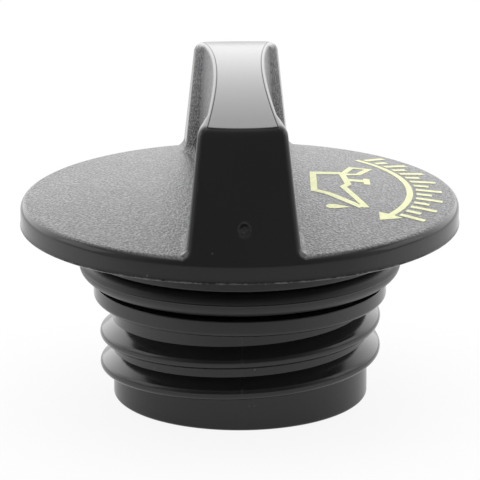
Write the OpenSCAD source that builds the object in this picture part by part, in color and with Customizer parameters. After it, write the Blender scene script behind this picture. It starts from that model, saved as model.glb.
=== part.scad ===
// Screw-in oil filler cap with a grip bar and a rubber seal ring.
// The cap is one plastic moulding: lid, grip bar, seal groove and hollow threaded neck.
// It stands on the end of its neck: Z = 0 is the neck's end face and +Z points out of the grip.
// The grip bar lies along Y. All sizes are in millimetres, all angles in degrees.

/* [Neck] */
// Outside diameter of the neck below the thread crests
neck_d = 38.5; // [34:0.5:44]
// Length of the neck from its end face to the collar
neck_h = 15.4; // [14:0.1:20]
// Thickness of the neck's wall
neck_wall = 2.5; // [1.6:0.1:4]
// Chamfer on the neck's end
neck_chamfer = 0.4; // [0.2:0.1:1]

/* [Thread] */
// Height of the thread ridge above the neck
thread_h = 2; // [1:0.05:2.5]
// Rise of the thread in one turn
thread_pitch = 4.75; // [4:0.05:6]
// Turns of full and fading thread together
thread_turns = 2; // [1:0.1:2.2]
// Radius of the ridge's rounded crest
thread_crest_r = 1; // [0.6:0.05:1.2]
// Height of the crest's centre above the neck's end where the thread begins
thread_start_z = 3.75; // [2.4:0.05:4]
// Direction where the thread begins, counted from +X towards +Y
thread_start_dir = 75; // [0:5:355]
// Part of a turn over which each end of the thread fades out
thread_fade_deg = 35; // [15:5:60]

/* [Collar and seal groove] */
// Outside diameter of the collar above the thread
collar_d = 44.3; // [42:0.1:48]
// Height of the collar
collar_h = 2.55; // [1.5:0.05:4]
// Rounding of the collar's lower edge
collar_round = 0.7; // [0.3:0.1:1.2]
// Diameter at the bottom of the seal groove
groove_d = 40.3; // [38:0.1:41]
// Height of the seal groove
groove_h = 5.05; // [4.6:0.05:7]
// Diameter of the boss between the groove and the lid
boss_d = 48.4; // [46:0.1:52]
// Height of the boss, from the groove to the lid's lower edge
boss_h = 3.8; // [2:0.1:6]

/* [Seal ring] */
// Thickness of the ring's round section
seal_d = 4.1; // [3:0.1:4.4]
// Gap between the ring and the groove that carries it
seal_gap = 0.05; // [0.02:0.01:0.1]

/* [Lid] */
// Outside diameter of the lid
lid_d = 66; // [62:0.5:80]
// Height of the lid's rim
lid_h = 3.8; // [2.8:0.1:6]
// Rounding of the rim's upper edge
lid_round = 1.3; // [1:0.1:2.4]
// Rounding of the rim's lower edge
lid_lower_round = 0.3; // [0.2:0.1:0.6]
// Rise of the lid's domed top from its rim to its middle
lid_crown = 2.1; // [0.5:0.1:4]
// Thickness of the lid at its rim, above the hollow under it
lid_wall = 2.3; // [1.8:0.1:2.6]
// Width of the solid rim round the hollow under the lid
rim_wall = 2; // [1.8:0.1:4]

/* [Grip bar] */
// Height of the bar's top, in its middle, above the lid's rim
grip_h = 19.8; // [15:0.1:30]
// Radius of the arch along the bar's top
grip_arch_r = 168; // [100:1:400]
// Lean of the bar's two end faces from upright
grip_lean = 17.4; // [12:0.1:22]
// Width of the flat top at the bar's waist
grip_waist_w = 6.7; // [6:0.1:8]
// Width of the flat top at the bar's ends
grip_top_w = 10.4; // [9:0.1:14]
// Power of the curve by which the bar widens from its waist to its ends
grip_flare = 2; // [1.8:0.1:3]
// Length of each end block along the bar's top, with the slope up to it
grip_block_t = 6; // [5.4:0.1:7]
// Length of the slope from the web's side out to the block's side
grip_slope_l = 3.2; // [1.5:0.1:3.6]
// Rounding along the top edges of the waisted web
web_round = 0.6; // [0.3:0.1:1]
// Draft of the web's sides from upright
web_draft = 3.2; // [1:0.1:5]
// Rounding along the top edges of the end blocks
block_round = 1.45; // [1:0.05:2]
// Draft of the end blocks' sides from upright
block_draft = 6.1; // [4:0.1:8]
// Rounding of the end blocks' outer upright edges
block_edge_round = 1; // [0.5:0.1:1.5]
// Fillet between the bar and the lid
grip_fillet = 1.6; // [1:0.1:2.2]
// Wall of the bar over the hollow inside it
grip_wall = 2.2; // [1.6:0.1:2.6]
// Thickness of each of the two ribs across the hollow in the bar
grip_rib_w = 1.6; // [1:0.1:3]

/* [Hidden] */
$fn = 96;

// Radii
neck_r = neck_d / 2;
bore_r = neck_r - neck_wall;
collar_r = collar_d / 2;
groove_r = groove_d / 2;
boss_r = boss_d / 2;
lid_r = lid_d / 2;
crown_edge_r = lid_r - lid_round;

// Levels, from the neck's end upwards
collar_z = neck_h;
groove_z = collar_z + collar_h;
boss_z = groove_z + groove_h;
lid_z = boss_z + boss_h;
rim_z = lid_z + lid_h;
side_z = rim_z - lid_round;
grip_z = rim_z + grip_h;
ceiling_z = rim_z - lid_wall;
rim_inner_r = lid_r - rim_wall;

// Steps of the curved stretches
arc_steps = 6;
lower_arc_steps = 3;
edge_steps = 4;
flat_steps = 3;
crown_steps = 8;
web_steps = 8;
thread_step_deg = 6;

// How deep the fused shapes reach into each other, and how far a cut runs past a face
thread_root = 0.8;
thread_end_sink = 0.3;
grip_root = 1;
cut_past = 1;

function arc(centre, r, from, to, steps) =
    [for (i = [0:steps]) let (a = from + (to - from) * i / steps) centre + r * [cos(a), sin(a)]];

// Height of the lid's top surface at a distance from the axis
function lid_top(r) =
    r < crown_edge_r ? rim_z + lid_crown * (1 - pow(r / crown_edge_r, 2))
                     : side_z + sqrt(max(0, pow(lid_round, 2) - pow(r - crown_edge_r, 2)));

// Body of revolution: neck, collar, groove, boss and lid, with the hollows in the neck and under the lid
body_outline = concat(
    [[bore_r, 0], [neck_r - neck_chamfer, 0], [neck_r, neck_chamfer], [neck_r, collar_z]],
    arc([collar_r - collar_round, collar_z + collar_round], collar_round, -90, 0, arc_steps),
    [[collar_r, groove_z], [groove_r, groove_z], [groove_r, boss_z], [boss_r, boss_z]],
    [[boss_r, ceiling_z], [rim_inner_r, ceiling_z], [rim_inner_r, lid_z]],
    arc([lid_r - lid_lower_round, lid_z + lid_lower_round], lid_lower_round, -90, 0, lower_arc_steps),
    arc([crown_edge_r, side_z], lid_round, 0, 90, arc_steps),
    [for (i = [1:crown_steps]) let (r = crown_edge_r * (1 - i / crown_steps)) [r, lid_top(r)]],
    [[0, ceiling_z], [bore_r, ceiling_z]]
);

// Thread: a rounded ridge on a rising helix, its upper flank running out long to the root
thread_deg = thread_turns * 360;
thread_steps = ceil(thread_deg / thread_step_deg);
crest_centre = thread_h - thread_crest_r;
flank_dir = 50;
flank_start = [crest_centre + thread_crest_r * cos(flank_dir), thread_crest_r * sin(flank_dir)];
flank_rise = 1 / tan(flank_dir);
thread_section = concat(
    [[-thread_root, -thread_crest_r]],
    arc([crest_centre, 0], thread_crest_r, -90, flank_dir, arc_steps),
    [[-thread_root, flank_start[1] + (flank_start[0] + thread_root) * flank_rise]]
);
function fade(deg) = sin(90 * min(1, min(deg, thread_deg - deg) / thread_fade_deg));
function thread_point(p, deg) =
    let (
        low = (thread_root - thread_end_sink) / (thread_root + thread_h),
        share = low + (1 - low) * fade(deg),
        r = neck_r - thread_root + (p[0] + thread_root) * share,
        z = thread_start_z + thread_pitch * deg / 360 + p[1],
        dir = thread_start_dir + deg
    )
    [r * cos(dir), r * sin(dir), z];

// Grip bar: heights and lengths
function arch_z(y) = grip_z - grip_arch_r + sqrt(pow(grip_arch_r, 2) - pow(y, 2));
function end_r(z) = lid_r - max(0, z - side_z) * tan(grip_lean);
grip_end_y = end_r(arch_z(end_r(arch_z(end_r(grip_z)))));
shoulder_y = grip_end_y - grip_block_t;
shoulder_draft = 1.5;
function shoulder(z) = shoulder_y - (grip_z - z) * tan(shoulder_draft);
function top_half_w(y) = grip_waist_w / 2 + (grip_top_w - grip_waist_w) / 2 * pow(abs(y) / grip_end_y, grip_flare);

// Stations along the bar: [place, distance, inset, share]. Place 0 is on the web, at a distance from the middle;
// place 1 is beyond the shoulder and place 2 before the end face. Inset narrows the block at its upright edges.
// Share is how far the section has turned from the web's into the block's.
slope_shares = [[0.25, 0.3], [0.5, 0.6], [0.72, 0.84], [0.88, 0.96], [1, 1]];
last_dir = 30;
outer_dirs = [90, 70, 50, last_dir];
overrun = 0.3;
overrun_inset = block_edge_round * (1 - sin(last_dir))
    + (block_edge_round * (1 - cos(last_dir)) + overrun) * tan(90 - last_dir);
half_stations = concat(
    [for (i = [0:web_steps]) [0, shoulder_y * i / web_steps, 0, 0]],
    [for (t = slope_shares) [1, grip_slope_l * t[0], 0, t[1]]],
    [for (a = outer_dirs) [2, block_edge_round * (1 - cos(a)), block_edge_round * (1 - sin(a)), 1]],
    [[2, -overrun, overrun_inset, 1]]
);
stations = concat(
    [for (i = [len(half_stations) - 1:-1:1]) concat(half_stations[i], -1)],
    [for (s = half_stations) concat(s, 1)]
);
function station_top_y(s) =
    s[0] == 0 ? s[1] : s[0] == 1 ? shoulder_y + s[1] : grip_end_y - s[1];
function station_y(s, x, z) =
    s[0] == 0 ? s[1] * shoulder(z) / shoulder_y
    : s[0] == 1 ? shoulder(z) + s[1]
    : sqrt(pow(end_r(z), 2) - pow(x, 2)) - s[1];

// Half section of the bar at a station, from the middle of its top down into the lid
side_steps = 3;
fillet_steps = 5;
fillet_bite = 14;
fillet_sink = 0.1;
foot_margin = 0.3;
foot_inset = 0.4;
function half_section(s) =
    let (
        top_y = station_top_y(s),
        top_z = arch_z(top_y),
        draft = web_draft + (block_draft - web_draft) * s[3],
        edge = web_round + (block_round - web_round) * s[3],
        flat = top_half_w(top_y) - s[2],
        side_top = [flat + edge * cos(draft), top_z - edge * (1 - sin(draft))],
        foot_x = side_top[0] + (side_top[1] - rim_z) * tan(draft),
        foot_r = min(norm([foot_x + grip_fillet, station_y(s, foot_x, rim_z)]), lid_r - foot_margin),
        centre_z = lid_top(foot_r) + grip_fillet * cos(fillet_bite) - fillet_sink,
        tangent_z = centre_z - grip_fillet * sin(draft),
        tangent_x = side_top[0] + (side_top[1] - tangent_z) * tan(draft),
        centre = [tangent_x + grip_fillet * cos(draft), centre_z],
        foot = arc(centre, grip_fillet, 180 + draft, 270 - fillet_bite, fillet_steps)
    )
    concat(
        [for (i = [0:flat_steps - 1]) [flat * i / flat_steps, top_z]],
        arc([flat, top_z - edge], edge, 90, draft, edge_steps),
        [for (i = [1:side_steps - 1]) side_top + ([tangent_x, tangent_z] - side_top) * i / side_steps],
        foot,
        [foot[fillet_steps] - [foot_inset, grip_root]]
    );
function section_loop(s) =
    let (
        half = half_section(s),
        loop = concat([for (p = half) [-p[0], p[1]]], [for (i = [len(half) - 1:-1:1]) half[i]])
    )
    [for (p = loop) [p[0], s[4] * station_y(s, p[0], p[1]), p[1]]];

// Hollows inside the bar, one wall thickness in from its faces
core_end_gap = 0.5;
core_start = 0.5;
core_half_l = sqrt(pow(bore_r, 2) - pow(grip_waist_w, 2) / 4) - core_end_gap;
core_top_z = arch_z(core_half_l) - grip_wall;
core_draft_l = 0.8;
core_steps = 6;
function web_half_w(y, z) =
    top_half_w(y) + web_round + (arch_z(y) - web_round - z) * tan(web_draft);
function core_loop(z) =
    let (
        half_l = core_half_l - (z < core_top_z ? 0 : core_draft_l),
        side = [for (i = [-core_steps:core_steps]) let (y = half_l * i / core_steps)
            [grip_wall - web_half_w(y, z), y]]
    )
    concat(side, [for (i = [len(side) - 1:-1:0]) [-side[i][0], side[i][1]]]);

pocket_gap = 0.8;
pocket_inner_y = boss_r + pocket_gap;
pocket_top_z = min(
    side_z + (lid_r - pocket_inner_y - grip_wall - pocket_gap) / tan(grip_lean),
    arch_z(pocket_inner_y) - grip_wall
);
pocket_steps = 4;
function block_half_w(z) =
    grip_top_w / 2 + block_round + (arch_z(grip_end_y) - block_round - z) * tan(block_draft);
function pocket_loop(z) =
    let (
        w = block_half_w(z) - grip_wall,
        out_r = end_r(z) - grip_wall / cos(grip_lean)
    )
    concat(
        [[w, pocket_inner_y], [-w, pocket_inner_y]],
        [for (i = [-pocket_steps:pocket_steps]) let (x = w * i / pocket_steps) [x, sqrt(pow(out_r, 2) - pow(x, 2))]]
    );

// A closed skin over loops of the same number of points, with a fan over each end
module skin(loops) {
    n = len(loops[0]);
    last = len(loops) - 1;
    ends = [for (k = [0, last]) [for (axis = [0:2]) [for (p = loops[k]) p[axis]] * [for (p = loops[k]) 1] / n]];
    points = concat([for (loop = loops) each loop], ends);
    sides = [for (k = [0:last - 1], i = [0:n - 1])
        let (a = k * n + i, b = k * n + (i + 1) % n)
        each [[a, b, b + n], [a, b + n, a + n]]];
    first_cap = [for (i = [0:n - 1]) [(i + 1) % n, i, len(points) - 2]];
    last_cap = [for (i = [0:n - 1]) [last * n + i, last * n + (i + 1) % n, len(points) - 1]];
    polyhedron(points = points, faces = concat(sides, first_cap, last_cap), convexity = 8);
}

module thread_ridge() {
    skin([for (k = [0:thread_steps])
        [for (p = thread_section) thread_point(p, thread_deg * k / thread_steps)]]);
}

module grip_bar() {
    intersection() {
        skin([for (s = stations) section_loop(s)]);
        rotate_extrude()
            polygon([
                [0, ceiling_z], [lid_r - grip_root, ceiling_z], [lid_r, side_z],
                [end_r(grip_z + cut_past), grip_z + cut_past], [0, grip_z + cut_past]
            ]);
    }
}

// Waisted slot up the inside of the bar, reached through the neck and crossed by two ribs
module web_core() {
    difference() {
        skin([for (z = [ceiling_z - core_start, core_top_z])
            [for (p = core_loop(z)) [p[0], p[1], z]]]);
        for (y = [-core_half_l / 3, core_half_l / 3])
            translate([-lid_r, y - grip_rib_w / 2, ceiling_z - cut_past]) cube([lid_d, grip_rib_w, grip_z]);
    }
}

// Wedge-shaped pocket up the inside of one end block, reached from the hollow under the lid
module block_core() {
    skin([for (z = [ceiling_z - core_start, (ceiling_z + pocket_top_z) / 2, pocket_top_z])
        [for (p = pocket_loop(z)) [p[0], p[1], z]]]);
}

module cap_body() {
    color("#1d1e1f")
        difference() {
            union() {
                rotate_extrude() polygon(body_outline);
                thread_ridge();
                grip_bar();
            }
            web_core();
            block_core();
            mirror([0, 1, 0]) block_core();
        }
}

module seal_ring() {
    color("#101010")
        translate([0, 0, boss_z - seal_gap - seal_d / 2])
            rotate_extrude()
                translate([groove_r + seal_gap + seal_d / 2, 0])
                    circle(d = seal_d);
}

cap_body();
seal_ring();
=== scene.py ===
"""Looks of a screw-in oil filler cap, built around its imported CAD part.

The cap stands on its neck, with its grip bar along Y. Sizes are in millimetres, and those of the
part repeat its own. Bump depths, the floor's and lamps' places and all meshes are in metres.
"""

import math

import bpy
import numpy as np
from mathutils import Matrix, Vector


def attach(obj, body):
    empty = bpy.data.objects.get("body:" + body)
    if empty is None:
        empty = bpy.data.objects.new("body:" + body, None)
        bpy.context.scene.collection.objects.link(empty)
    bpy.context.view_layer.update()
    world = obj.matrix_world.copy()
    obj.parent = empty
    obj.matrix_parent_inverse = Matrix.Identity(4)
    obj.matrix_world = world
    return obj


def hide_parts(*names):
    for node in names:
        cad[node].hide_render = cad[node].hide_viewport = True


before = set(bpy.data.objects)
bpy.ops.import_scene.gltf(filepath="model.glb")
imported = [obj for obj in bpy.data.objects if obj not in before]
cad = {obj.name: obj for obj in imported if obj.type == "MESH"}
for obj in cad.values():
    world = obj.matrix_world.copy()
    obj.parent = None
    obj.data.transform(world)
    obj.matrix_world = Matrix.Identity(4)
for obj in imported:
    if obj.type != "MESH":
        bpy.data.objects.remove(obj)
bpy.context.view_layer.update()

# Sizes of the part
NECK_R = 19.25
NECK_H = 15.4
NECK_WALL = 2.5
BORE_R = NECK_R - NECK_WALL
COLLAR_R = 22.15
COLLAR_H = 2.55
GROOVE_R = 20.15
GROOVE_H = 5.05
BOSS_R = 24.2
BOSS_H = 3.8
LID_R = 33.0
LID_H = 3.8
LID_ROUND = 1.3
LID_CROWN = 2.1
LID_WALL = 2.3
RIM_WALL = 2.0
SEAL_D = 4.1
SEAL_GAP = 0.05
THREAD_H = 2.0
THREAD_PITCH = 4.75
THREAD_TURNS = 2.0
THREAD_CREST_R = 1.0
THREAD_START_Z = 3.75
THREAD_START_DIR = 75.0
THREAD_FADE = 35.0
THREAD_ROOT = 0.8
GRIP_H = 19.8
GRIP_ARCH_R = 168.0
GRIP_LEAN = math.radians(17.4)
GRIP_WAIST_W = 6.7
GRIP_TOP_W = 10.4
GRIP_FLARE = 2.0
GRIP_BLOCK_T = 6.0
GRIP_SLOPE_L = 3.2
WEB_ROUND = 0.6
WEB_DRAFT = math.radians(3.2)
BLOCK_ROUND = 1.45
BLOCK_DRAFT = math.radians(6.1)
BLOCK_EDGE_ROUND = 1.0
GRIP_FILLET = 1.6
GRIP_WALL = 2.2
GRIP_RIB_W = 1.6

# Levels of the part
COLLAR_Z = NECK_H
GROOVE_Z = COLLAR_Z + COLLAR_H
BOSS_Z = GROOVE_Z + GROOVE_H
LID_Z = BOSS_Z + BOSS_H
RIM_Z = LID_Z + LID_H
SIDE_Z = RIM_Z - LID_ROUND
GRIP_Z = RIM_Z + GRIP_H
CEILING_Z = RIM_Z - LID_WALL
CROWN_EDGE_R = LID_R - LID_ROUND

AROUND = 288


def arc(cx, cz, r, start, end, steps):
    """Points of an arc about (cx, cz), from start to end in degrees."""
    turns = np.radians(np.linspace(start, end, steps + 1))
    return [(cx + r * math.cos(a), cz + r * math.sin(a)) for a in turns]


def lid_top(r):
    """Height of the lid's top at a distance from the axis."""
    if r < CROWN_EDGE_R:
        return RIM_Z + LID_CROWN * (1 - (r / CROWN_EDGE_R) ** 2)
    return SIDE_Z + math.sqrt(max(0.0, LID_ROUND ** 2 - (r - CROWN_EDGE_R) ** 2))


def mesh_object(name, points, faces):
    """A new object from points in millimetres."""
    mesh = bpy.data.meshes.new(name)
    mesh.from_pydata([tuple(0.001 * c for c in p) for p in points], [], faces)
    mesh.validate()
    obj = bpy.data.objects.new(name, mesh)
    bpy.context.scene.collection.objects.link(obj)
    return obj


def revolve(name, profile, segments=AROUND):
    """Turns a profile of (r, z) points about Z. Points on the axis become single poles."""
    points, rows = [], []
    for r, z in profile:
        if r < 1e-6:
            rows.append([len(points)] * segments)
            points.append((0.0, 0.0, z))
        else:
            rows.append(list(range(len(points), len(points) + segments)))
            for k in range(segments):
                a = 2 * math.pi * k / segments
                points.append((r * math.cos(a), r * math.sin(a), z))
    faces = []
    for low, high in zip(rows, rows[1:] + ([] if rows[0][0] == rows[0][1] else rows[:1])):
        for k in range(segments):
            n = (k + 1) % segments
            loop = [low[k], low[n], high[n], high[k]]
            loop = [v for i, v in enumerate(loop) if v != loop[i - 1]]
            if len(loop) > 2:
                faces.append(loop)
    return mesh_object(name, points, faces)


def skin(name, loops):
    """Closed skin over loops of the same number of points, with a fan over each end."""
    n, last = len(loops[0]), len(loops) - 1
    points = [p for loop in loops for p in loop]
    points += [tuple(np.mean(loops[k], axis=0)) for k in (0, last)]
    faces = []
    for k in range(last):
        for i in range(n):
            a, b = k * n + i, k * n + (i + 1) % n
            faces.append((a, b, b + n, a + n))
    for i in range(n):
        faces.append(((i + 1) % n, i, len(points) - 2))
        faces.append((last * n + i, last * n + (i + 1) % n, len(points) - 1))
    return mesh_object(name, points, faces)


def evaluated(obj):
    """Gives the object the mesh that its modifiers make, and takes the modifiers away."""
    graph = bpy.context.evaluated_depsgraph_get()
    mesh = bpy.data.meshes.new_from_object(obj.evaluated_get(graph), depsgraph=graph)
    obj.modifiers.clear()
    obj.data = mesh


def combine(obj, other, operation):
    """Union, difference or intersection, then the other object goes."""
    before = len(obj.data.polygons)
    mod = obj.modifiers.new("combine", "BOOLEAN")
    mod.operation = operation
    mod.object = other
    mod.solver = "MANIFOLD"
    evaluated(obj)
    bpy.data.objects.remove(other)
    if not obj.data.polygons:
        raise RuntimeError(f"{operation} on {obj.name} left nothing of {before} faces")


# Camera: long lens, a little to the left of the bar's end and rolled a fifth of a degree
LOOK_Z = 23.87
CAM_DISTANCE = 604.0
CAM_ELEVATION = math.radians(16.38)
CAM_AZIMUTH = math.radians(1.09)
CAM_ROLL = math.radians(-0.215)
cam_data = bpy.data.cameras.new("camera")
cam_data.sensor_width = 36.0
cam_data.lens = 300.0
cam_data.clip_start = 0.01
cam_data.shift_x = 0.0005
camera = bpy.data.objects.new("camera", cam_data)
bpy.context.scene.collection.objects.link(camera)
camera.location = (
    -0.001 * CAM_DISTANCE * math.cos(CAM_ELEVATION) * math.sin(CAM_AZIMUTH),
    -0.001 * CAM_DISTANCE * math.cos(CAM_ELEVATION) * math.cos(CAM_AZIMUTH),
    0.001 * (LOOK_Z + CAM_DISTANCE * math.sin(CAM_ELEVATION)),
)
aim = Vector((0, 0, 0.001 * LOOK_Z)) - camera.location
turn = aim.to_track_quat("-Z", "Y").to_matrix()
camera.rotation_euler = (turn @ Matrix.Rotation(CAM_ROLL, 3, "Z")).to_euler()
bpy.context.scene.camera = camera


# Body of revolution: dome, rim, boss, seal groove, collar, neck and the hollows inside
EDGE = 0.25
FLASH = 0.07
INNER_ROUND = 0.3
GROOVE_ROUND = 0.4
COLLAR_ROUND = 0.7
BORE_ROUND = 0.8
dome = [(r, lid_top(r)) for r in np.linspace(0.0, CROWN_EDGE_R, 44)]
profile = dome[:-1]
profile += arc(CROWN_EDGE_R, SIDE_Z, LID_ROUND, 90, 0, 10)
profile += [(LID_R, z) for z in np.linspace(SIDE_Z, LID_Z + 0.42, 5)[1:]]
# the thin flash along the rim's lower lip
profile += [(LID_R + 0.3 * FLASH, LID_Z + 0.3), (LID_R + FLASH, LID_Z + 0.22), (LID_R + FLASH, LID_Z + 0.14)]
profile += [(LID_R - 0.02, LID_Z + 0.06), (LID_R - 0.12, LID_Z)]
profile += [(LID_R - RIM_WALL + 0.15, LID_Z), (LID_R - RIM_WALL, LID_Z + 0.15)]
profile += arc(LID_R - RIM_WALL - INNER_ROUND, CEILING_Z - INNER_ROUND, INNER_ROUND, 0, 90, 3)
profile += arc(BOSS_R + INNER_ROUND, CEILING_Z - INNER_ROUND, INNER_ROUND, 90, 180, 3)
profile += [(BOSS_R, z) for z in np.linspace(CEILING_Z - INNER_ROUND, BOSS_Z + EDGE, 5)[1:-1]]
profile += arc(BOSS_R - EDGE, BOSS_Z + EDGE, EDGE, 0, -90, 4)
profile += arc(GROOVE_R + GROOVE_ROUND, BOSS_Z - GROOVE_ROUND, GROOVE_ROUND, 90, 180, 4)
profile += arc(GROOVE_R + GROOVE_ROUND, GROOVE_Z + GROOVE_ROUND, GROOVE_ROUND, 180, 270, 4)
profile += arc(COLLAR_R - EDGE, GROOVE_Z - EDGE, EDGE, 90, 0, 4)
profile += arc(COLLAR_R - COLLAR_ROUND, COLLAR_Z + COLLAR_ROUND, COLLAR_ROUND, 0, -90, 6)
profile += arc(NECK_R + INNER_ROUND, COLLAR_Z - INNER_ROUND, INNER_ROUND, 90, 180, 3)
profile += [(NECK_R, z) for z in np.linspace(COLLAR_Z - INNER_ROUND, 0.45, 14)[1:]]
profile += [(NECK_R - 0.03, 0.33), (NECK_R - 0.12, 0.18), (NECK_R - 0.28, 0.05), (NECK_R - 0.42, 0.0)]
profile += [(BORE_R + 0.35, 0.0), (BORE_R + 0.1, 0.1), (BORE_R, 0.35)]
profile += [(BORE_R, z) for z in np.linspace(0.35, CEILING_Z - BORE_ROUND, 8)[1:-1]]
profile += arc(BORE_R - BORE_ROUND, CEILING_Z - BORE_ROUND, BORE_ROUND, 0, 90, 5)
profile += [(r, CEILING_Z) for r in np.linspace(BORE_R - BORE_ROUND, 0.0, 8)[1:]]
shell = revolve("cap_shell", profile[::-1])

# Thread ridge: a rounded crest on a rising helix that fades at both ends
THREAD_DEG = THREAD_TURNS * 360
crest_x = THREAD_H - THREAD_CREST_R
THREAD_FLANK = 50
THREAD_END_SINK = 0.3
flank_dir = math.radians(THREAD_FLANK)
flank = (crest_x + THREAD_CREST_R * math.cos(flank_dir), THREAD_CREST_R * math.sin(flank_dir))
root_z = flank[1] + (flank[0] + THREAD_ROOT) / math.tan(flank_dir)
section = [(-THREAD_ROOT, -THREAD_CREST_R), (-0.2, -THREAD_CREST_R), (0.3 * crest_x, -THREAD_CREST_R)]
section += arc(crest_x, 0, THREAD_CREST_R, -90, THREAD_FLANK, 14)
root = np.array((-THREAD_ROOT, root_z))
section += [tuple(np.array(flank) * (1 - t) + root * t) for t in (0.2, 0.4, 0.6, 0.8, 1.0)]


def thread_loop(deg):
    """The ridge's section at an angle along the helix. At the ends it sinks into the neck."""
    fade = math.sin(0.5 * math.pi * min(1.0, min(deg, THREAD_DEG - deg) / THREAD_FADE))
    low = (THREAD_ROOT - THREAD_END_SINK) / (THREAD_ROOT + THREAD_H)
    share = low + (1 - low) * fade
    a = math.radians(THREAD_START_DIR + deg)
    loop = []
    for x, z in section:
        r = NECK_R - THREAD_ROOT + (x + THREAD_ROOT) * share
        loop.append((r * math.cos(a), r * math.sin(a), THREAD_START_Z + THREAD_PITCH * deg / 360 + z))
    return loop


thread = skin("thread", [thread_loop(d) for d in np.linspace(0, THREAD_DEG, 289)])


# Grip bar, from the middle of its top down into the lid
def arch_z(y):
    """Height of the bar's arched top."""
    return GRIP_Z - GRIP_ARCH_R + math.sqrt(GRIP_ARCH_R ** 2 - y * y)


def end_r(z):
    """The leaning end face's distance from the axis; it runs into the rounding of the lid's rim."""
    tangent = CROWN_EDGE_R + LID_ROUND / math.cos(GRIP_LEAN)
    return min(LID_R, tangent - max(0.0, z - SIDE_Z) * math.tan(GRIP_LEAN))


GRIP_END_Y = end_r(arch_z(end_r(arch_z(end_r(GRIP_Z)))))
SHOULDER_Y = GRIP_END_Y - GRIP_BLOCK_T
ROLL_H = 1.5
ROLL_R = 3.2
ROLL_Z = arch_z(GRIP_END_Y) - ROLL_H
SHOULDER_LEAN = math.radians(1.5)
SLOPE_POWER = 1.35
FOOT_BITE = 5
FOOT_SINK = 0.02
WEB, SLOPE, END = 0, 1, 2


def face_r(z):
    """The end face's distance from the axis: it leans, and rolls back below the bar's top."""
    return end_r(z) - max(0.0, z - ROLL_Z) ** 2 / (2 * ROLL_R)


def shoulder(z):
    """Where the web ends and the block's inner slope begins."""
    return SHOULDER_Y - (GRIP_Z - z) * math.tan(SHOULDER_LEAN)


def top_half_w(y):
    """Half the width of the bar's flat top, narrowest at its waist."""
    return GRIP_WAIST_W / 2 + (GRIP_TOP_W - GRIP_WAIST_W) / 2 * abs(y / GRIP_END_Y) ** GRIP_FLARE


def station_top_y(place, distance):
    """Where a station's section meets the middle of the bar's top."""
    return (distance, SHOULDER_Y + distance, GRIP_END_Y - distance)[place]


def station_y(place, distance, x, z):
    """Where a point of a station's section lies along the bar."""
    if place == WEB:
        return distance * shoulder(z) / SHOULDER_Y
    if place == SLOPE:
        return shoulder(z) + distance
    return math.sqrt(face_r(z) ** 2 - x * x) - distance


def half_section(place, distance, inset, share):
    """Half of the bar's section: flat top, rounding, drafted wall and the fillet into the lid."""
    top_y = station_top_y(place, distance)
    top_z = arch_z(top_y)
    draft = WEB_DRAFT + (BLOCK_DRAFT - WEB_DRAFT) * share
    edge = WEB_ROUND + (BLOCK_ROUND - WEB_ROUND) * share
    flat = top_half_w(top_y) - inset
    side_x, side_z = flat + edge * math.cos(draft), top_z - edge * (1 - math.sin(draft))
    foot_x = side_x + (side_z - RIM_Z) * math.tan(draft)
    foot_y = station_y(place, distance, foot_x, RIM_Z)
    foot_r = min(math.hypot(foot_x + GRIP_FILLET, foot_y), LID_R - 0.3)
    centre_z = lid_top(foot_r) + GRIP_FILLET * math.cos(math.radians(FOOT_BITE)) - FOOT_SINK
    tan_z = centre_z - GRIP_FILLET * math.sin(draft)
    tan_x = side_x + (side_z - tan_z) * math.tan(draft)
    centre_x = tan_x + GRIP_FILLET * math.cos(draft)
    foot = arc(centre_x, centre_z, GRIP_FILLET, 180 + math.degrees(draft), 270 - FOOT_BITE, 10)
    half = [(flat * i / 6, top_z) for i in range(6)]
    half += arc(flat, top_z - edge, edge, 90, math.degrees(draft), 8)
    for t in np.linspace(0, 1, 13)[1:-1]:
        half.append((side_x + (tan_x - side_x) * t, side_z + (tan_z - side_z) * t))
    half += foot
    half.append((foot[-1][0] - 0.4, foot[-1][1] - 1.0))
    return half


def section_loop(place, distance, inset, share, side):
    """The bar's whole section on one side of the middle, with its top laid on the arch."""
    half = half_section(place, distance, inset, share)
    loop = [(-x, z) for x, z in half] + half[:0:-1]
    top_z = arch_z(station_top_y(place, distance))
    rounded_z = top_z - BLOCK_ROUND
    points = []
    for x, z in loop:
        y = station_y(place, distance, x, z)
        near_top = min(1.0, max(0.0, (z - rounded_z) / BLOCK_ROUND)) if place == END else 0.0
        points.append((x, side * y, z + near_top * (arch_z(y) - top_z)))
    return points


# Stations: place, distance, inset, and the share of the way from the web's section to the block's
stations = [(WEB, SHOULDER_Y * i / 24, 0.0, 0.0) for i in range(25)]
for t in np.linspace(0, 1, 13)[1:]:
    stations.append((SLOPE, GRIP_SLOPE_L * t, 0.0, 1 - (1 - t) ** SLOPE_POWER))
for a in np.radians([90, 80, 70, 60, 50, 42, 34, 29, 28.2, 20, 13, 7]):
    edge_back, edge_in = 1 - math.cos(a), 1 - math.sin(a)
    stations.append((END, BLOCK_EDGE_ROUND * edge_back, BLOCK_EDGE_ROUND * edge_in, 1.0))
END_OVERRUN = 2.5
stations.append((END, -END_OVERRUN, BLOCK_EDGE_ROUND * 0.95, 1.0))
loops = [section_loop(*s, -1) for s in stations[:0:-1]] + [section_loop(*s, 1) for s in stations]
bar = skin("bar", loops)
top = GRIP_Z + 1
roll_top = ROLL_Z + ROLL_H + 0.1
tangent_z = SIDE_Z + LID_ROUND * math.sin(GRIP_LEAN)
rim_arc = arc(CROWN_EDGE_R, SIDE_Z, LID_ROUND, 90, 0, 10)
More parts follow.
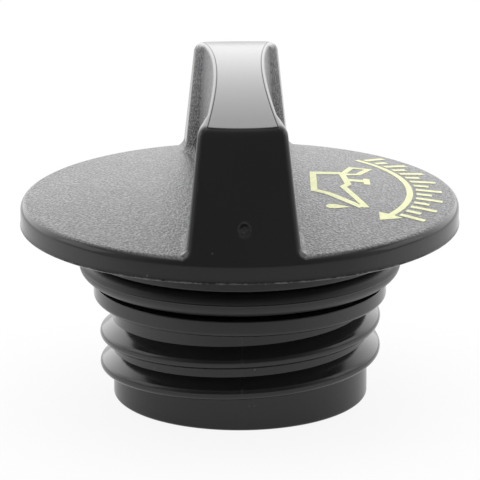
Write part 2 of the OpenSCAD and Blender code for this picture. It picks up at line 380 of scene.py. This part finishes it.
envelope = revolve("envelope", [
    (0.0, top), (face_r(roll_top), top),
    *[(face_r(z), z) for z in np.linspace(roll_top, ROLL_Z, 10)],
    *[(face_r(z), z) for z in np.linspace(ROLL_Z, tangent_z, 29)[1:]],
    rim_arc[-2], rim_arc[-1],
    (LID_R - 1.0, CEILING_Z), (0.0, CEILING_Z),
][::-1])
combine(bar, envelope, "INTERSECT")

# Gate mark on the near end face: a shallow dish with a broken stub in it
GATE_X = 0.1
GATE_Z = 34.3
GATE_STRETCH = 1.35
GATE_SEAT_X = 0.3
gate_seat = Vector((GATE_X, -math.sqrt(end_r(GATE_Z) ** 2 - GATE_SEAT_X ** 2), GATE_Z))
gate_out = Vector((0.0, -math.cos(GRIP_LEAN), math.sin(GRIP_LEAN)))
gate_up = Vector((0.0, math.sin(GRIP_LEAN), math.cos(GRIP_LEAN)))
gate_profile = [
    (0.0, -0.1), (0.14, -0.1), (0.28, -0.1), (0.4, -0.12), (0.55, -0.13), (0.7, -0.1), (0.86, -0.05),
    (1.02, 0.0), (1.16, 0.06), (1.3, 0.5), (0.0, 0.5),
]
gate = revolve("gate", gate_profile, 28)
rough = np.random.default_rng(7)
for v in gate.data.vertices:
    p = v.co * 1000
    radius = math.hypot(p.x, p.y)
    side = p.y / max(radius, 0.2)
    if p.z < 0.3:
        # deeper at the top, with a torn stub below the middle
        p.z += 0.10 * (0.1 - side) * min(1.0, radius) + float(rough.normal(0, 0.015)) * (radius < 1.1)
        p.z += 0.12 * math.exp(-((p.x + 0.15) ** 2 + (p.y + 0.3) ** 2) / 0.09)
        p.x += float(rough.normal(0, 0.03))
        p.y *= GATE_STRETCH
    v.co = (gate_seat + Vector((1, 0, 0)) * p.x + gate_up * p.y + gate_out * p.z) / 1000
gate.data.update()


# Hollows inside the bar
def web_half_w(y, z):
    """Half the web's width at a place along the bar and a height."""
    return top_half_w(y) + WEB_ROUND + (arch_z(y) - WEB_ROUND - z) * math.tan(WEB_DRAFT)


CORE_HALF_L = math.sqrt(BORE_R ** 2 - GRIP_WAIST_W ** 2 / 4) - 0.5
CORE_TOP_Z = arch_z(CORE_HALF_L) - GRIP_WALL
CORE_TOP_SHORT = 0.8


def core_loop(z):
    """Outline of the web's hollow at a height. It is shorter at its top."""
    half_l = CORE_HALF_L - (CORE_TOP_SHORT if z >= CORE_TOP_Z else 0.0)
    side = [(GRIP_WALL - web_half_w(y, z), y) for y in np.linspace(-half_l, half_l, 13)]
    loop = side + [(-x, y) for x, y in side[::-1]]
    return [(x, y, z) for x, y in loop]


def slab(name, y0, y1):
    """A block right across the part, between two places along the bar."""
    half = [(-LID_R, y0), (-LID_R, y1), (LID_R, y1), (LID_R, y0)]
    return skin(name, [[(x, y, z) for x, y in half] for z in (CEILING_Z - 1, GRIP_Z)])


web_core = skin("web_core", [core_loop(z) for z in (CEILING_Z - 0.5, CORE_TOP_Z)])
for y in (-CORE_HALF_L / 3, CORE_HALF_L / 3):
    combine(web_core, slab("rib", y - GRIP_RIB_W / 2, y + GRIP_RIB_W / 2), "DIFFERENCE")

POCKET_Y = BOSS_R + 0.8
POCKET_TOP_L = 0.8
POCKET_TOP_Z = min(
    SIDE_Z + (LID_R - POCKET_Y - GRIP_WALL - POCKET_TOP_L) / math.tan(GRIP_LEAN),
    arch_z(POCKET_Y) - GRIP_WALL,
)


def pocket_loop(z, side):
    """Outline of an end block's hollow at a height."""
    drop = arch_z(GRIP_END_Y) - BLOCK_ROUND - z
    w = GRIP_TOP_W / 2 + BLOCK_ROUND + drop * math.tan(BLOCK_DRAFT) - GRIP_WALL
    out = end_r(z) - GRIP_WALL / math.cos(GRIP_LEAN)
    loop = [(w, POCKET_Y), (-w, POCKET_Y)]
    loop += [(x, math.sqrt(out * out - x * x)) for x in np.linspace(-w, w, 9)]
    loop = [(x, side * y, z) for x, y in loop]
    return loop if side > 0 else loop[::-1]


pocket_levels = (CEILING_Z - 0.5, (CEILING_Z + POCKET_TOP_Z) / 2, POCKET_TOP_Z)
combine(shell, thread, "UNION")
combine(shell, bar, "UNION")
combine(shell, gate, "DIFFERENCE")
combine(shell, web_core, "DIFFERENCE")
for side in (-1, 1):
    combine(shell, skin("pocket", [pocket_loop(z, side) for z in pocket_levels]), "DIFFERENCE")


def smooth(obj, degrees):
    """Smooth shading with sharp edges where faces turn by more than the angle."""
    mesh = obj.data
    mesh.shade_smooth()
    mesh.set_sharp_from_angle(angle=math.radians(degrees))
    mod = obj.modifiers.new("normals", "WEIGHTED_NORMAL")
    mod.keep_sharp = True
    evaluated(obj)


smooth(shell, 33)

# Seal ring with the fine flash line of its mould along its outer equator
seal_r = GROOVE_R + SEAL_GAP + SEAL_D / 2
seal_z = BOSS_Z - SEAL_GAP - SEAL_D / 2
# the flash as rows of degrees from the equator and height
flash_rows = [(-2.6, 0.0), (-1.3, 0.04), (0.0, 0.06), (1.3, 0.04), (2.6, 0.0)]
rows = [(deg, 0.0) for deg in range(-180, -4, 5)] + flash_rows + [(deg, 0.0) for deg in range(5, 180, 5)]
ring_profile = []
for deg, extra in rows:
    r, a = SEAL_D / 2 + extra, math.radians(deg)
    ring_profile.append((seal_r + r * math.cos(a), seal_z + r * math.sin(a)))
ring = revolve("seal_ring_body", ring_profile, 256)
smooth(ring, 40)


# Print on the lid: thin ink shells that lie on the dome
INK = 0.03
INK_SINK = 0.05
STROKE_STEP = 1.2


def ink_piece(name, polygons):
    """Closed thin shells over flat polygons of (x, y), laid on the dome."""
    points, faces = [], []
    for poly in polygons:
        n, base = len(poly), len(points)
        for lift in (INK, -INK_SINK):
            points += [(x, y, lid_top(math.hypot(x, y)) + lift) for x, y in poly]
        faces.append(tuple(range(base, base + n)))
        faces.append(tuple(range(base + 2 * n - 1, base + n - 1, -1)))
        for i in range(n):
            j = (i + 1) % n
            faces.append((base + j, base + i, base + n + i, base + n + j))
    return mesh_object(name, points, faces)


def stroke(path, width):
    """Quads along a path, with mitred joints, short enough to follow the dome."""
    pts = [np.array(p, float) for p in path]
    n = len(pts)
    sides = []
    for i in range(n):
        before = pts[i] - pts[i - 1] if i > 0 else pts[1] - pts[0]
        after = pts[i + 1] - pts[i] if i < n - 1 else pts[-1] - pts[-2]
        before, after = before / np.linalg.norm(before), after / np.linalg.norm(after)
        normal = np.array([-(before + after)[1], (before + after)[0]])
        normal /= np.linalg.norm(normal)
        reach = width / 2 / max(0.45, float(normal @ np.array([-before[1], before[0]])))
        sides.append((pts[i] + normal * reach, pts[i] - normal * reach))
    quads = []
    for a, b in zip(sides, sides[1:]):
        parts = max(1, int(round(np.linalg.norm(b[0] - a[0]) / STROKE_STEP)))
        for k in range(parts):
            t, u = k / parts, (k + 1) / parts
            quads.append([
                tuple(a[0] * (1 - t) + b[0] * t), tuple(a[1] * (1 - t) + b[1] * t),
                tuple(a[1] * (1 - u) + b[1] * u), tuple(a[0] * (1 - u) + b[0] * u),
            ])
    return quads


def polar(r, deg):
    """A point (x, y) at a distance and an angle in degrees."""
    return (r * math.cos(math.radians(deg)), r * math.sin(math.radians(deg)))


# Plain oil can: body, spout, handle, cap and a drop, its base towards the bar
can = stroke([(11.3, 7.6), (11.1, -3.4)], 1.0)
can += stroke([(10.9, 7.0), (15.6, 7.6)], 1.5)
can += stroke([(15.6, 8.2), (16.4, 1.2), (15.6, -0.4), (18.6, -10.4)], 1.0)
can += stroke([(11.1, -2.9), (13.0, -4.2), (17.9, -10.4)], 1.2)
can += stroke([(16.0, 7.6), (17.3, 11.6), (19.9, 11.2), (18.2, 7.4), (16.2, 6.9)], 0.9)
can += stroke([(16.6, 3.6), (18.8, 3.4)], 1.4)
can += stroke([(19.3, 4.9), (19.3, 1.6)], 1.0)
can.append([(12.5, -10.7), (13.0, -9.7), (13.9, -9.6), (16.2, -10.6), (13.9, -11.6), (13.0, -11.6)])
turn_scale = stroke([polar(25.6, d) for d in np.linspace(44, -30, 38)], 0.95)
for k, deg in enumerate(np.linspace(42, -28, 15)):
    long_tick = k % 2 == 0
    turn_scale += stroke([polar(26.6, deg), polar(30.6 if long_tick else 28.9, deg)], 1.05)
turn_scale.append([polar(23.6, -30.5), polar(25.6, -37.5), polar(27.6, -30.5), polar(25.6, -30.0)])
pictogram = ink_piece("print_oil_can", can)
scale_print = ink_piece("print_turn_scale", turn_scale)


# Materials
class Nodes:
    """Short calls that build one node tree."""

    def __init__(self, tree):
        self.tree = tree

    def new(self, kind, **settings):
        node = self.tree.nodes.new(kind)
        for key, value in settings.items():
            setattr(node, key, value)
        return node

    def link(self, source, target):
        """Sets a socket to a number, vector or colour, or links an output to it."""
        if isinstance(source, (int, float, tuple)):
            target.default_value = source
        else:
            self.tree.links.new(source, target)

    def math(self, operation, a, b=0.0):
        node = self.new("ShaderNodeMath", operation=operation)
        self.link(a, node.inputs[0])
        self.link(b, node.inputs[1])
        return node.outputs[0]

    def times(self, first, *others):
        """Product of two or more values."""
        for value in others:
            first = self.math("MULTIPLY", first, value)
        return first

    def length(self, a, b):
        """Distance of the point (a, b) from the origin."""
        return self.math("SQRT", self.math("ADD", self.times(a, a), self.times(b, b)))

    def ramp(self, value, low, high, out_low=0.0, out_high=1.0):
        """Smooth step of a value from low to high."""
        node = self.new("ShaderNodeMapRange", interpolation_type="SMOOTHSTEP")
        self.link(value, node.inputs["Value"])
        ends = {"From Min": low, "From Max": high, "To Min": out_low, "To Max": out_high}
        for name, number in ends.items():
            node.inputs[name].default_value = number
        return node.outputs["Result"]

    def near(self, value, inner, outer):
        """1 within the inner distance of zero, 0 beyond the outer one."""
        return self.ramp(self.math("ABSOLUTE", value), inner, outer, 1.0, 0.0)

    def split(self, vector):
        """The x, y and z of a vector."""
        node = self.new("ShaderNodeSeparateXYZ")
        self.link(vector, node.inputs[0])
        return node.outputs[0], node.outputs[1], node.outputs[2]

    def white_light(self, kind, strength):
        """A white emission or background of a strength."""
        node = self.new(kind)
        self.link((1, 1, 1, 1), node.inputs["Color"])
        self.link(strength, node.inputs["Strength"])
        return node

    def finish(self, output_kind, share, first, second):
        """Ends the tree with a mix of two shaders."""
        mix = self.new("ShaderNodeMixShader")
        self.link(share, mix.inputs[0])
        self.link(first.outputs[0], mix.inputs[1])
        self.link(second.outputs[0], mix.inputs[2])
        self.link(mix.outputs[0], self.new(output_kind).inputs["Surface"])


class Shader(Nodes):
    """A new material, with places on the part in millimetres and some textures."""

    def __init__(self, name):
        self.material = bpy.data.materials.new(name)
        self.material.use_nodes = True
        super().__init__(self.material.node_tree)
        self.bsdf = self.tree.nodes["Principled BSDF"]
        self.coord = self.new("ShaderNodeTexCoord").outputs["Object"]
        self.x, self.y, self.z = (self.times(metres, 1000.0) for metres in self.split(self.coord))
        self.r = self.length(self.x, self.y)

    def noise(self, scale, detail=2.0, roughness=0.5):
        """Noise by size: scale is in waves per metre."""
        node = self.new("ShaderNodeTexNoise")
        self.link(self.coord, node.inputs["Vector"])
        self.link(scale, node.inputs["Scale"])
        self.link(detail, node.inputs["Detail"])
        self.link(roughness, node.inputs["Roughness"])
        return node.outputs["Fac"]

    def cells(self, scale, feature="F1"):
        node = self.new("ShaderNodeTexVoronoi", feature=feature)
        self.link(self.coord, node.inputs["Vector"])
        self.link(scale, node.inputs["Scale"])
        return node.outputs["Distance"]

    def mix(self, factor, a, b):
        node = self.new("ShaderNodeMix", data_type="RGBA")
        self.link(factor, node.inputs[0])
        self.link(a, node.inputs[6])
        self.link(b, node.inputs[7])
        return node.outputs[2]

    def bump(self, height, strength, distance, normal=None):
        node = self.new("ShaderNodeBump")
        self.link(strength, node.inputs["Strength"])
        self.link(distance, node.inputs["Distance"])
        self.link(height, node.inputs["Height"])
        if normal is not None:
            self.link(normal, node.inputs["Normal"])
        return node.outputs["Normal"]

    def grain(self):
        """Height of the moulded grain: small packed cells with softer waves under them."""
        cell = self.times(self.cells(3000.0, "SMOOTH_F1"), 0.5)
        wave = self.times(self.noise(3300.0, 2.0, 0.6), 0.65)
        return self.math("ADD", cell, wave)


# Where the mould is grained, smooth or half smooth: the start and end of each soft edge
GRAINED_R = (CROWN_EDGE_R + 0.3, CROWN_EDGE_R + 1.0)
GRAINED_OVER_DOME = (-0.6, -0.3)
GRAINED_TOP_Z = (GRIP_Z - 0.60, GRIP_Z - 0.15)
BLOCK_Y = (23.9, 24.4)
BLOCK_OVER_DOME = (0.9, 1.5)
FOOT_X = (8.7, 9.3)
FOOT_Y = (29.6, 30.2)
WEB_END_Y = (18.0, 20.5)
WEB_OVER_DOME = (1.2, 2.2)
WEB_SMOOTHNESS = 0.65


def flat_height(s):
    """Height with the arch of the bar's top taken out."""
    return s.math("ADD", s.z, s.times(s.y, s.y, 0.5 / GRIP_ARCH_R))


def lid_grain_mask(s):
    """1 where the mould is grained: the dome and the recessed sides of the bar."""
    across = s.math("ABSOLUTE", s.x)
    along = s.math("ABSOLUTE", s.y)
    dome_z = s.math("ADD", RIM_Z + LID_CROWN, s.times(s.r, s.r, -LID_CROWN / CROWN_EDGE_R ** 2))
    over = s.math("SUBTRACT", s.z, dome_z)
    inside = s.ramp(s.r, *GRAINED_R, 1.0, 0.0)
    above = s.ramp(over, *GRAINED_OVER_DOME)
    under_top = s.ramp(flat_height(s), *GRAINED_TOP_Z, 1.0, 0.0)
    block = s.times(s.ramp(along, *BLOCK_Y), s.ramp(over, *BLOCK_OVER_DOME))
    foot = s.times(s.ramp(across, *FOOT_X, 1.0, 0.0), s.ramp(along, *FOOT_Y))
    web = s.times(s.ramp(along, *WEB_END_Y, WEB_SMOOTHNESS, 0.0), s.ramp(over, *WEB_OVER_DOME))
    mask = s.times(inside, above, under_top)
    mask = s.times(mask, s.math("SUBTRACT", 1.0, s.math("MAXIMUM", block, foot)))
    return s.times(mask, s.math("SUBTRACT", 1.0, web))


WITNESS_IN = 0.52


def witness_line(s):
    """1 on the fine line that the mould leaves round the bar's flat top."""
    along = s.math("DIVIDE", s.math("ABSOLUTE", s.y), GRIP_END_Y)
    flare = s.times(s.math("POWER", along, GRIP_FLARE), (GRIP_TOP_W - GRIP_WAIST_W) / 2)
    beyond = s.math("SUBTRACT", s.math("ABSOLUTE", s.x), s.math("ADD", GRIP_WAIST_W / 2, flare))
    side = s.near(beyond, 0.05, 0.13)
    end = s.near(s.math("SUBTRACT", s.r, GRIP_END_Y - WITNESS_IN), 0.10, 0.22)
    inside = s.ramp(beyond, 0.0, 0.2, 1.0, 0.0)
    on_top = s.ramp(flat_height(s), GRIP_Z - 0.16, GRIP_Z - 0.08)
    return s.times(on_top, s.math("MAXIMUM", side, s.times(end, inside)))


GATE_COLOUR_Z = 34.5
GATE_HALF_W = 1.05
GATE_HALF_H = 1.25


def gate_masks(s):
    """1 on the gate mark's scuffed patch, and 1 on a painted shadow: the dark crescent in its upper half."""
    gate_x = s.math("DIVIDE", s.math("SUBTRACT", s.x, GATE_X), GATE_HALF_W)
    gate_h = s.math("DIVIDE", s.math("SUBTRACT", s.z, GATE_COLOUR_Z), GATE_HALF_H)
    gate_r = s.length(gate_x, gate_h)
    on_face = s.ramp(s.y, -29.5, -28.5, 1.0, 0.0)
    patchy = s.ramp(s.noise(900.0, 3.0, 0.7), 0.35, 0.65, 0.35, 1.0)
    scuffed = s.times(s.ramp(gate_r, 0.78, 1.12, 1.0, 0.0), on_face, patchy)
    bow = s.times(s.ramp(gate_r, 0.30, 0.52), s.ramp(gate_r, 0.64, 0.86, 1.0, 0.0))
    upper = s.times(s.ramp(gate_h, 0.0, 0.40), s.ramp(s.noise(1300.0, 2.0), 0.35, 0.55, 0.5, 1.0))
    return scuffed, s.times(bow, upper, on_face)


LIP_Z = LID_Z + 0.16
SEAM_X = -0.1


def torn_lip(s):
    """1 on the torn flash along the rim's lower lip."""
    at_edge = s.ramp(s.r, LID_R - 0.25, LID_R - 0.1)
    lip = s.times(at_edge, s.near(s.math("SUBTRACT", s.z, LIP_Z), 0.10, 0.20))
    return s.times(lip, s.ramp(s.noise(700.0, 3.0, 0.7), 0.40, 0.62))


def neck_seam(s):
    """1 on the mould's seam, which runs up the front and the back of the neck."""
    below_collar = s.ramp(s.z, COLLAR_Z - 0.2, COLLAR_Z, 1.0, 0.0)
    return s.times(s.near(s.math("SUBTRACT", s.x, SEAM_X), 0.05, 0.16), below_collar)


SATIN_DARK = (0.0140, 0.0143, 0.0145, 1)
SATIN_LIGHT = (0.0190, 0.0193, 0.0195, 1)
# Grained colours: painted shade in the grain's hollows and painted sheen on its raised cells, in place of
# the light that the grain scatters
GRAIN_HOLLOW_SHADE = (0.004, 0.004, 0.005, 1)
GRAIN_CELL_SHEEN = (0.165, 0.163, 0.175, 1)
SPECK = (0.12, 0.12, 0.115, 1)
SCUFF = (0.042, 0.042, 0.041, 1)
# Painted shadow in the upper half of the gate mark's dish
GATE_SHADE = (0.001, 0.001, 0.001, 1)
TORN = (0.15, 0.15, 0.145, 1)
GRAIN_DEPTH = 0.00024
SEAM_DEPTH = 0.00006
SKIN_DEPTH = 0.00001


def cap_plastic():
    """Black moulded plastic: satin, with a grained lid and the marks of its mould; painted sheen and shade
    on the grain, and a painted shadow in the gate mark.
    """
    s = Shader("black_plastic")
    mask = lid_grain_mask(s)
    cloud = s.noise(90.0, 3.0)
    fine = s.noise(1500.0, 3.0)
    grain = s.grain()
    specks = s.times(s.ramp(s.cells(420.0), 0.05, 0.09, 1.0, 0.0), s.ramp(s.noise(160.0, 1.0), 0.56, 0.62))
    scuffed, gate_shade = gate_masks(s)

    satin = s.mix(cloud, SATIN_DARK, SATIN_LIGHT)
    # The grained parts carry painted light: shade in the grain's hollows and sheen on its raised cells,
    # lighter on the whole than the satin plastic
    grained = s.mix(s.ramp(grain, 0.42, 0.70), GRAIN_HOLLOW_SHADE, GRAIN_CELL_SHEEN)
    colour = s.mix(mask, satin, grained)
    colour = s.mix(s.times(specks, 0.5), colour, SPECK)
    colour = s.mix(scuffed, colour, SCUFF)
    # Painted shadow: a dark crescent in the upper half of the gate mark's dish
    colour = s.mix(gate_shade, colour, GATE_SHADE)
    colour = s.mix(s.times(torn_lip(s), 0.8), colour, TORN)
    s.link(colour, s.bsdf.inputs["Base Color"])

    uneven = s.math("ADD", s.times(cloud, 0.06), s.times(fine, 0.04))
    roughness = s.math("ADD", s.math("ADD", 0.10, uneven), s.times(mask, 0.16))
    s.link(roughness, s.bsdf.inputs["Roughness"])
    s.link(s.ramp(witness_line(s), 0.0, 1.0, 0.5, 0.03), s.bsdf.inputs["Specular IOR Level"])
    s.link(1.5, s.bsdf.inputs["IOR"])

    normal = s.bump(neck_seam(s), 0.8, SEAM_DEPTH)
    normal = s.bump(fine, 0.25, SKIN_DEPTH, normal)
    s.link(s.bump(grain, mask, GRAIN_DEPTH, normal), s.bsdf.inputs["Normal"])
    return s.material


def seal_rubber():
    """Smooth black rubber."""
    s = Shader("black_rubber")
    cloud = s.noise(140.0, 3.0)
    s.link(s.mix(cloud, (0.008, 0.008, 0.008, 1), (0.012, 0.012, 0.012, 1)), s.bsdf.inputs["Base Color"])
    s.link(s.math("ADD", 0.30, s.times(cloud, 0.14)), s.bsdf.inputs["Roughness"])
    s.link(1.5, s.bsdf.inputs["IOR"])
    s.link(s.bump(s.noise(900.0, 3.0), 0.3, 0.00002), s.bsdf.inputs["Normal"])
    return s.material


def print_ink():
    """Pale yellow ink, a little mottled by the grain under it."""
    s = Shader("yellow_ink")
    mottled = s.ramp(s.noise(1800.0, 3.0), 0.3, 0.7)
    s.link(s.mix(mottled, (0.74, 0.755, 0.40, 1), (0.86, 0.87, 0.50, 1)), s.bsdf.inputs["Base Color"])
    s.link(0.55, s.bsdf.inputs["Roughness"])
    s.link(s.bump(s.grain(), 0.8, 0.00012), s.bsdf.inputs["Normal"])
    return s.material


plastic = cap_plastic()
rubber = seal_rubber()
ink = print_ink()
dressed = (
    (shell, plastic), (ring, rubber), (pictogram, ink), (scale_print, ink),
    (cad["cap_body"], plastic), (cad["seal_ring"], rubber),
)
for obj, material in dressed:
    obj.data.materials.clear()
    obj.data.materials.append(material)

slots = (
    (shell, "cap_plastic"), (ring, "seal_rubber"), (pictogram, "print_ink"), (scale_print, "print_ink"),
)
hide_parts("cap_body")
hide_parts("seal_ring")
for obj, slot in slots:
    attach(obj, "root")


# Floor: white to the camera, and as light on the cap dimmer towards the front. Places in metres.
FLOOR_HALF = 3000
FLOOR_DROP = 0.00002
FLOOR_SEEN = 0.90


def floor_material():
    """The floor's own dim white, covered by a white glow as far as camera and glossy rays see it."""
    material = bpy.data.materials.new("white_floor")
    material.use_nodes = True
    n = Nodes(material.node_tree)
    n.tree.nodes.clear()
    y = n.split(n.new("ShaderNodeTexCoord").outputs["Object"])[1]
    path = n.new("ShaderNodeLightPath")
    seen = path.outputs["Is Camera Ray"]
    mirrored = n.times(path.outputs["Is Glossy Ray"], n.ramp(y, 0.02, 0.07, 0.6, 1.0))
    diffuse = n.new("ShaderNodeBsdfDiffuse")
    n.link(n.ramp(y, -0.30, -0.04, 0.25, 0.86), diffuse.inputs["Color"])
    sheen = n.ramp(y, -0.10, -0.02, 0.30, 1.0)
    glow = n.white_light("ShaderNodeEmission", n.math("MAXIMUM", seen, sheen))
    share = n.math("ADD", n.times(seen, FLOOR_SEEN), mirrored)
    n.finish("ShaderNodeOutputMaterial", share, diffuse, glow)
    return material


corners = [(x * FLOOR_HALF, y * FLOOR_HALF, 0) for x, y in ((-1, -1), (1, -1), (1, 1), (-1, 1))]
floor = mesh_object("floor", corners, [(0, 1, 2, 3)])
floor.location.z = -FLOOR_DROP
floor.data.materials.append(floor_material())

# Surroundings: as light a tent that is dim in front, bright behind and overhead; white to the camera
FRONT_WAY = (0.0, -0.95, 0.31)


def tent_world():
    """A world whose light comes from every side but mostly from behind and overhead."""
    world = bpy.data.worlds.new("tent")
    world.use_nodes = True
    n = Nodes(world.node_tree)
    n.tree.nodes.clear()
    way = n.new("ShaderNodeTexCoord").outputs["Generated"]
    _, y, z = n.split(way)
    dot = n.new("ShaderNodeVectorMath", operation="DOT_PRODUCT")
    n.link(way, dot.inputs[0])
    n.link(FRONT_WAY, dot.inputs[1])
    front = n.ramp(dot.outputs["Value"], 0.3, 0.85, 0.5, 0.15)
    behind = n.ramp(y, 0.05, 0.85, 0.0, 1.95)
    low = n.times(n.ramp(z, 0.52, 0.92, 1.0, 0.0), n.ramp(z, -0.02, 0.26, 0.78, 1.0))
    overhead = n.ramp(z, 0.78, 0.95, 0.0, 1.2)
    strength = n.math("ADD", n.math("ADD", front, overhead), n.times(behind, low))
    light = n.white_light("ShaderNodeBackground", strength)
    white = n.white_light("ShaderNodeBackground", 1.0)
    seen = n.new("ShaderNodeLightPath").outputs["Is Camera Ray"]
    n.finish("ShaderNodeOutputWorld", seen, light, white)
    return world


bpy.context.scene.world = tent_world()

LAMP_AIM = Vector((0, 0, 0.03))


def area_lamp(name, location, size, power):
    """A square lamp that points at the middle of the cap."""
    data = bpy.data.lights.new(name, "AREA")
    data.shape = "SQUARE"
    data.size = size
    data.energy = power
    lamp = bpy.data.objects.new(name, data)
    bpy.context.scene.collection.objects.link(lamp)
    lamp.location = location
    lamp.rotation_euler = (LAMP_AIM - Vector(location)).to_track_quat("-Z", "Y").to_euler()


area_lamp("top_light", (0.0, 0.1, 0.7), 0.5, 0.8)
area_lamp("left_light", (-0.7, 0.05, 0.35), 0.4, 0.4)
area_lamp("right_light", (0.7, 0.05, 0.35), 0.4, 0.4)

bpy.context.scene.view_settings.view_transform = "Standard"
